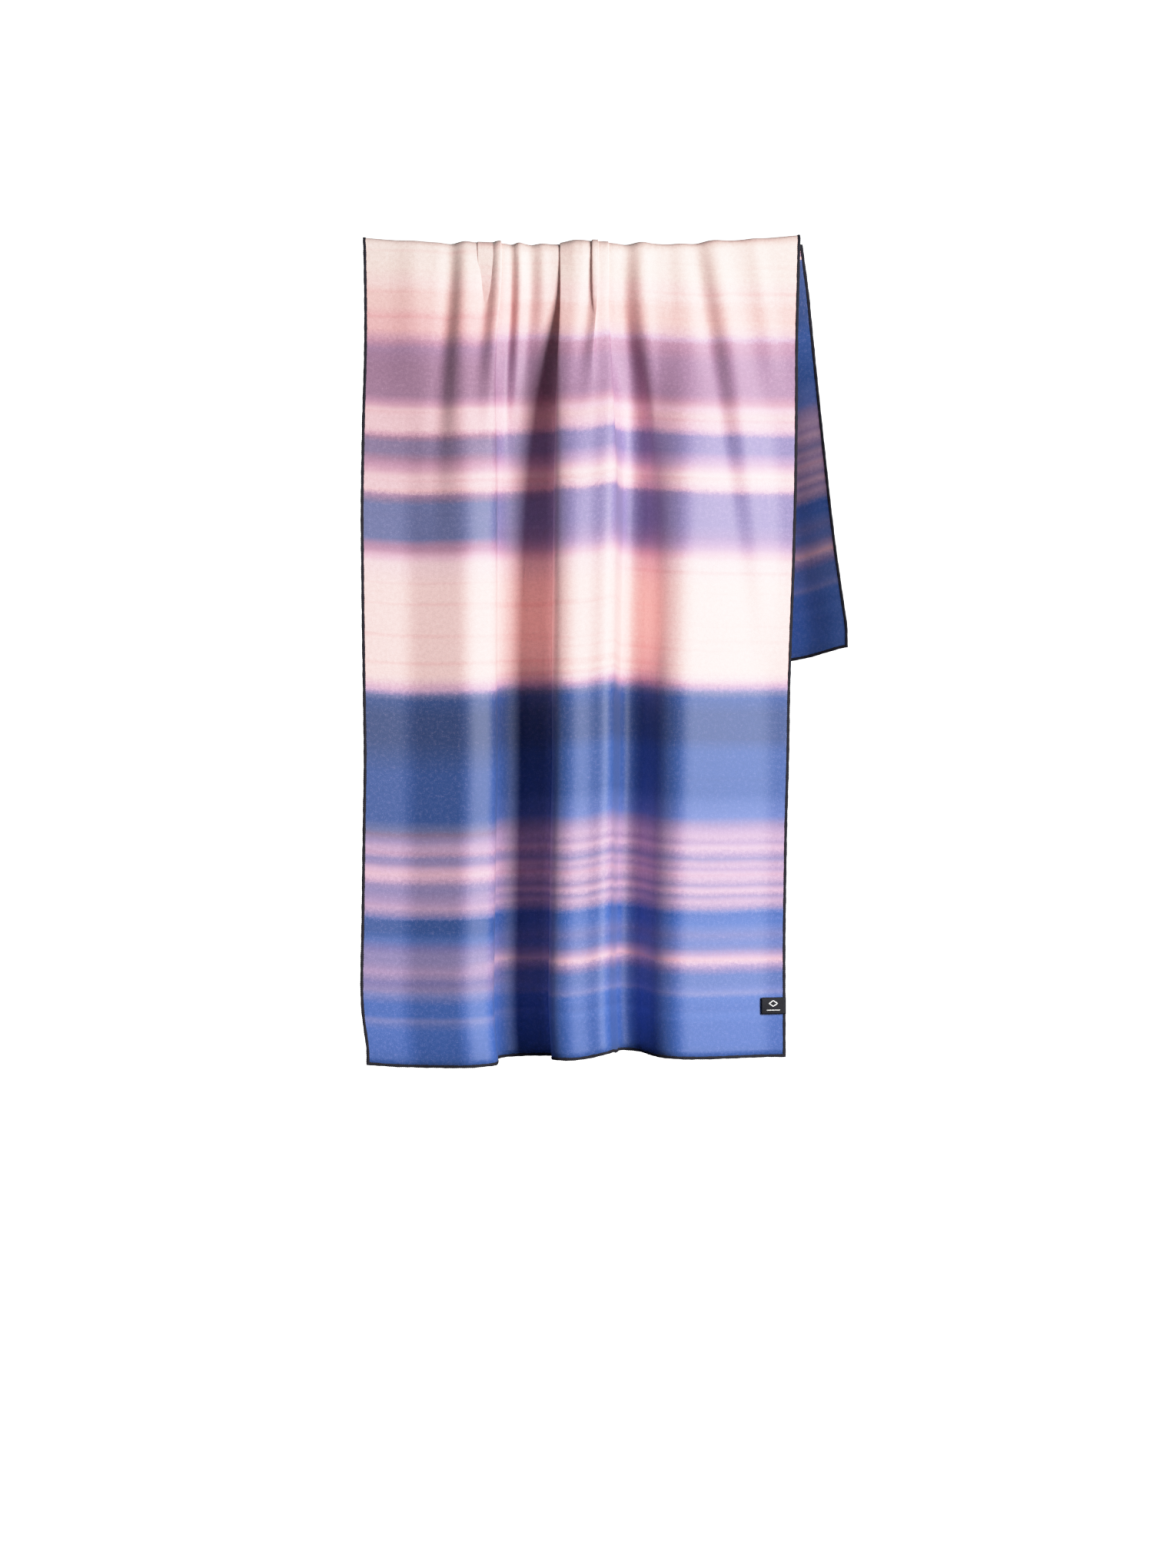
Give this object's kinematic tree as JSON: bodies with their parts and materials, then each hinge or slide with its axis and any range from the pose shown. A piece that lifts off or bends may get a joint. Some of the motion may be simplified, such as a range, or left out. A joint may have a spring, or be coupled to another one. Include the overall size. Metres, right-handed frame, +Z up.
{
  "type": "quick dry towel",
  "caption": "Rectangular quick dry towel with overlocked edges and a folded side label, hanging over a rope with a long front drop and a short back drop.",
  "frame": {"origin": "on the axis of the rope or bar that the towel hangs over, at the middle of the towel's width", "axes": "+Z up, X along the rope, the long front drop on the -Y side, which the viewer faces"},
  "size_m": [0.6087, 0.2006, 1.0092],
  "materials": {
    "cloth": "brushed microfibre suede with a dyed print of soft stripes",
    "edging": "black overlock thread, matt",
    "label": "black damask woven tape, slight sheen",
    "thread": "black sewing thread"
  },
  "bodies": {
    "saddle": {"cloth_saddle": "cloth", "edging_left_saddle": "edging", "edging_right_saddle": "edging"},
    "front_drop": {"cloth_front": "cloth", "edging_left_front": "edging", "edging_right_front": "edging", "edging_hem_front": "edging", "label_root": "label", "label_stitch_1": "thread", "label_stitch_2": "thread", "label_stitch_3": "thread", "label_stitch_4": "thread", "label_stitch_5": "thread", "label_stitch_6": "thread"},
    "back_drop": {"cloth_back": "cloth", "edging_left_back": "edging", "edging_right_back": "edging", "edging_hem_back": "edging"},
    "label": {"label_leaf": "label"}
  },
  "joints": [
    {"name": "front_swing", "type": "hinge", "parent": "saddle", "child": "front_drop", "pos_m": [0, 0, 0], "axis": [-1, 0, 0], "range_deg": [0, 60]},
    {"name": "back_swing", "type": "hinge", "parent": "saddle", "child": "back_drop", "pos_m": [0, 0, 0], "axis": [1, 0, 0], "range_deg": [0, 60]},
    {"name": "label_turn", "type": "hinge", "parent": "front_drop", "child": "label", "pos_m": [0.24692, 0.02398, -0.92593], "axis": [0.0259, 0, 0.9997], "range_deg": [0, 120]}
  ]
}
